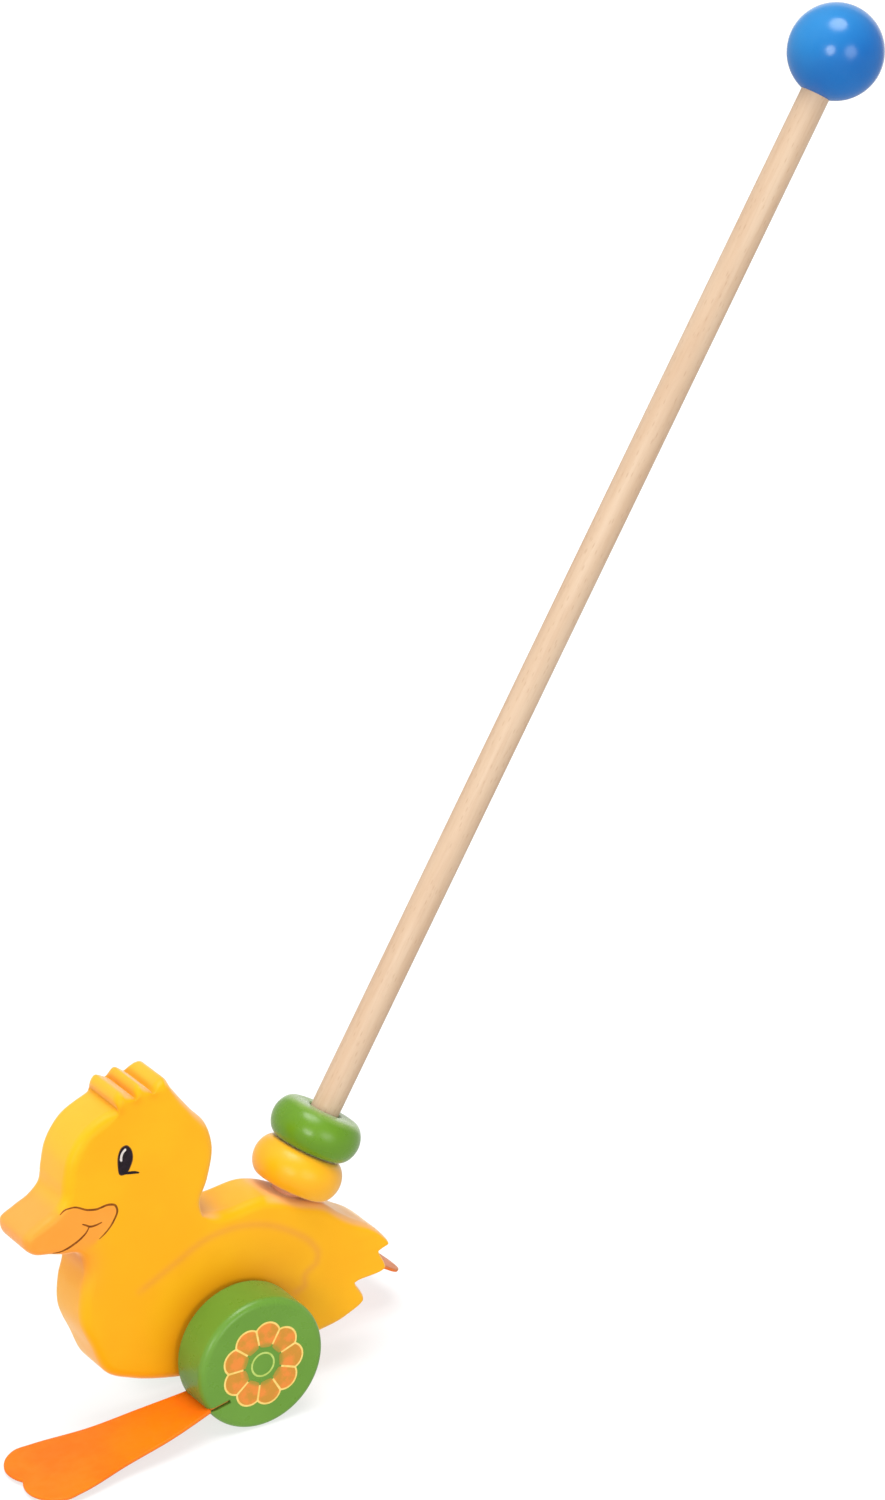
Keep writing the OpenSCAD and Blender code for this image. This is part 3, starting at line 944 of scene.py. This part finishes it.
def paint_wheels():
    """A flower on the outer face of both wheels."""
    pale = ink("flower_line", srgb(255, 222, 128), srgb(246, 208, 108))
    ring_pale = ink("ring_line", srgb(196, 218, 116), srgb(184, 208, 98))
    petals = [petal(k * PETAL_ANGLE) for k in range(PETALS)]
    # Each film's shapes, its height in layers and its paint
    films = {
        "flower_ground": ([flower_ground()], 1, pale),
        "flower_ring": ([flower_ring()], 1, ring_pale),
        "flower_petals": (petals, 1.6, petal_ink())}

    def height_at(x, z):
        """The wheel's face is flat."""
        return wheel_face

    for side, word in SIDES:
        for name, (shapes, layers, material) in films.items():
            add_film(f"{name}_{word}", shapes, height_at, side, layers, material, "wheelset")


# The rubber feet: a tongue in the wheel's kerf and a bent blade with two toes

FOOT_LENGTH = 81
FOOT_HALF = [
    (-9.4, 8.2, SHARP), (-0.8, 8.2, SHARP), (-0.2, 9.7, SHARP), (19.4, 13.4), (41.3, 16.3),
    (64.8, 21.3), (71.3, 21.8), (77, 18.6), (81.5, 10.2), (80.9, 3.4), (79.4, 0, SHARP)]
FOOT_STEP = 1.2
FOOT_GRID = 2.2
FOOT_THICK = 1.5
FOOT_EDGE = 0.55
FOOT_EDGE_STEPS = 4
# Where the soles' duller tone starts and ends, through the rubber's thickness
SOLE_SPAN = (-0.2, 0.6)
KERF_OFFSET = 8.5
TOE_LIFT = 1.5
# Length of blade next to the wheel, whose ends make_foot works out but leaves unused
FLEX_LENGTH = 30.0
LEFT_BEND = math.radians(9)
RIGHT_BEND = math.radians(42)
RIGHT_SLOPE = math.radians(3)
RIGHT_LEAN = 0.22
kerf_mouth = math.sqrt(axle_height**2 - KERF_OFFSET**2)


def blade(bend, s, off):
    """A point of an evenly bent blade, in the wheel's plane with the kerf along the first axis."""
    radius = FOOT_LENGTH / bend
    angle = bend * np.maximum(s, 0) / FOOT_LENGTH
    return np.stack([kerf_mouth + np.minimum(s, 0) + (radius + off) * np.sin(angle),
                     KERF_OFFSET + (radius + off) * np.cos(angle) - radius], -1)


def toe_slope(bend):
    """Slope of the left wheel's kerf at which the toes reach the floor."""
    toe = blade(bend, np.array(float(FOOT_LENGTH)), FOOT_THICK / 2)
    drop = math.asin((axle_height - TOE_LIFT) / np.linalg.norm(toe))
    return drop - math.atan2(toe[1], toe[0])


def make_foot(word, side, bend, slope, lean, material):
    """One foot, its tongue straight in the kerf and its blade bent evenly."""
    turn = math.pi - slope if side == LEFT else -slope

    def place(s, w, off):
        """Where a point of the flat foot lies on the toy."""
        flat = blade(bend, s, off)
        x = flat[..., 0] * math.cos(turn) + flat[..., 1] * math.sin(turn)
        z = flat[..., 1] * math.cos(turn) - flat[..., 0] * math.sin(turn)
        y = side * wheel_middle + w + side * lean * np.maximum(s, 0)
        return np.stack([x, y, z + axle_height], -1)

    outline = smooth_path(whole(FOOT_HALF), FOOT_STEP, True)
    points, faces = rounded_plate(outline, drawn_in(outline, FOOT_EDGE), FOOT_THICK / 2, FOOT_EDGE,
                                  FOOT_EDGE_STEPS, FOOT_GRID)
    foot = new_object(f"{word}_rubber_foot", place(*points.T), faces)
    foot.data.materials.append(material)
    point_mask(foot, "sole", smoothstep(*SOLE_SPAN, points[:, 2]))
    rim, beyond = (Vector(place(np.array(s), 0.0, 0.0)) * MM for s in (0.0, FLEX_LENGTH))
    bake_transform(foot)
    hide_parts(f"{word}_foot")


def make_feet():
    """The left foot lies with its toes on the floor, and the right one stands out behind."""
    material = rubber()
    make_foot("left", LEFT, LEFT_BEND, toe_slope(LEFT_BEND), 0, material)
    make_foot("right", RIGHT, RIGHT_BEND, RIGHT_SLOPE, RIGHT_LEAN, material)


# The beads, with edges that turn over smoothly

BEAD_TOP = 8.5
BEAD_HALF = [
    (6.5, 7.5, SHARP), (7.3, 8.4), (9, BEAD_TOP), (12.6, BEAD_TOP), (14.6, 8.1), (16.2, 6.9),
    (17.9, 4.2), (18.75, 0)]
BEAD_STEP = 0.6
BEAD_SEGMENTS = 72


def make_bead(name, slot, light, dark, ior, rough, top_sheen_tone):
    """A loose bead on the stick."""
    centre = middle_of(name) / MM
    top = (stick_axis.dot(centre) + BEAD_TOP) * MM
    ring = lathe(BEAD_HALF, BEAD_STEP, BEAD_SEGMENTS, centre, stick_axis)
    bead = new_object(f"{name}_turned", *ring)
    bead.data.materials.append(bead_paint(slot, light, dark, ior, rough, top, top_sheen_tone))
    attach(bead, name)
    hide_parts(name)


def make_beads():
    """The yellow bead on the duck's back and the green one on top of it."""
    # The last tone of each bead is the painted highlight on its top face
    make_bead("yellow_bead", "yellow_paint", srgb(254, 181, 4), srgb(250, 172, 0),
              ior=1.4, rough=0.34, top_sheen_tone=srgb(255, 196, 60))
    make_bead("green_bead", "leaf_paint", srgb(103, 151, 22), srgb(93, 142, 16),
              ior=1.46, rough=0.28, top_sheen_tone=srgb(158, 186, 104))


def finish_cad_pieces():
    """The sawn pieces, the stick and the knob keep their exact shape and get their finish."""
    across = beech("axle_beech", axle_turn)
    bead_bottom = stick_axis.dot(middle_of("yellow_bead")) - BEAD_TOP * MM
    finishes = {
        # The stick's foot gets painted bounce light below the yellow bead
        "push_stick": beech("beech", stick_turn, bead_bottom),
        "knob": knob_paint(),
        "left_wheel": wheel_paint(),
        "right_wheel": wheel_paint(),
        "axle": across,
        "left_washer": across,
        "right_washer": across}
    for name, material in finishes.items():
        nodes[name].material_slots[0].material = material


# The studio: pale floor, soft light and the photograph's camera

# The camera looks along this direction, with the origin at this distance
AZIMUTH = math.radians(-32.25)
ELEVATION = math.radians(22.14)
CAMERA_DISTANCE = 2050.4
PHOTO_SIZE = (885, 1500)
FOCAL_PIXELS = 5110.5
# Where the origin lies in the photograph, in pixels
ORIGIN_PIXEL = (220.3, 1390.4)
SENSOR = 36
# Direction seen from the camera as right, up and back, angle across in degrees,
# and light on a facing surface
LAMPS = {
    "top_lamp": ((0.05, 0.86, 0.51), 34, 0.66),
    "left_lamp": ((-0.29, -0.07, 0.95), 22, 0.3),
    "right_lamp": ((0.52, -0.13, 0.84), 28, 0.26),
    "fill_lamp": ((-0.62, 0.74, 0.26), 80, 0.42),
    "back_lamp": ((0.2, 0.44, -0.875), 60, 0.12)}
NOT_IN_GLOSS = "fill_lamp"
ONLY_IN_GLOSS = "back_lamp"
SKY = 0.55
# The floor is a light table, so shadows on it are faint
FLOOR_HALF = 20000
FLOOR_TONE = 0.28
FLOOR_GLOW = 0.7
FLOOR_ROUGHNESS = 0.9
camera_back = Vector((math.sin(AZIMUTH) * math.cos(ELEVATION),
                      -math.cos(AZIMUTH) * math.cos(ELEVATION),
                      math.sin(ELEVATION)))
camera_right = Vector((math.cos(AZIMUTH), math.sin(AZIMUTH), 0))
camera_up = camera_back.cross(camera_right)


def make_camera():
    """The camera that took the photograph."""
    data = bpy.data.cameras.new("camera")
    data.sensor_fit = "AUTO"
    data.sensor_width = SENSOR
    data.lens = FOCAL_PIXELS / PHOTO_SIZE[1] * SENSOR
    camera = bpy.data.objects.new("camera", data)
    aside = [(pixel - size / 2) / FOCAL_PIXELS * CAMERA_DISTANCE
             for pixel, size in zip(ORIGIN_PIXEL, PHOTO_SIZE)]
    place = camera_back * CAMERA_DISTANCE - camera_right * aside[0] + camera_up * aside[1]
    axes = Matrix((camera_right, camera_up, camera_back)).transposed()
    camera.matrix_world = Matrix.Translation(place * MM) @ axes.to_4x4()
    bpy.context.scene.collection.objects.link(camera)
    bpy.context.scene.camera = camera


def make_lamps():
    """Soft lamps around the camera, and one behind the toy."""
    for name, (way, across, light) in LAMPS.items():
        data = bpy.data.lights.new(name, "SUN")
        data.angle = math.radians(across)
        data.energy = light * math.pi
        lamp = bpy.data.objects.new(name, data)
        lamp.visible_glossy = name != NOT_IN_GLOSS
        lamp.visible_diffuse = name != ONLY_IN_GLOSS
        towards = camera_right * way[0] + camera_up * way[1] + camera_back * way[2]
        lamp.rotation_euler = towards.to_track_quat("Z", "Y").to_euler()
        bpy.context.scene.collection.objects.link(lamp)


def make_sky():
    """Even light from all around, seen as a white backdrop."""
    world = bpy.data.worlds.new("studio")
    world.use_nodes = True
    tree = world.node_tree
    soft = tree.nodes["Background"]
    soft.inputs["Color"].default_value = (SKY, SKY, SKY, 1)
    backdrop = tree.nodes.new("ShaderNodeBackground")
    backdrop.inputs["Color"].default_value = (1, 1, 1, 1)
    seen = tree.nodes.new("ShaderNodeLightPath")
    either = tree.nodes.new("ShaderNodeMixShader")
    tree.links.new(seen.outputs["Is Camera Ray"], either.inputs[0])
    tree.links.new(soft.outputs[0], either.inputs[1])
    tree.links.new(backdrop.outputs[0], either.inputs[2])
    tree.links.new(either.outputs[0], tree.nodes["World Output"].inputs["Surface"])
    bpy.context.scene.world = world


def make_floor():
    """A wide pale floor that glows a little."""
    signs = ((-1, -1), (1, -1), (1, 1), (-1, 1))
    corners = [(x * FLOOR_HALF, y * FLOOR_HALF, 0) for x, y in signs]
    floor = new_object("floor", corners, [(0, 1, 2, 3)])
    white = bpy.data.materials.new("floor_white")
    white.use_nodes = True
    shader = white.node_tree.nodes["Principled BSDF"]
    shader.inputs["Base Color"].default_value = (FLOOR_TONE, FLOOR_TONE, FLOOR_TONE, 1)
    shader.inputs["Roughness"].default_value = FLOOR_ROUGHNESS
    shader.inputs["Specular IOR Level"].default_value = 0
    shader.inputs["Emission Color"].default_value = (1, 1, 1, 1)
    shader.inputs["Emission Strength"].default_value = FLOOR_GLOW
    floor.data.materials.append(white)
    floor.visible_glossy = False


make_camera()
make_lamps()
make_sky()
make_floor()
bpy.context.scene.view_settings.view_transform = "Standard"
paint_face(make_duck())
paint_wheels()
make_feet()
make_beads()
finish_cad_pieces()
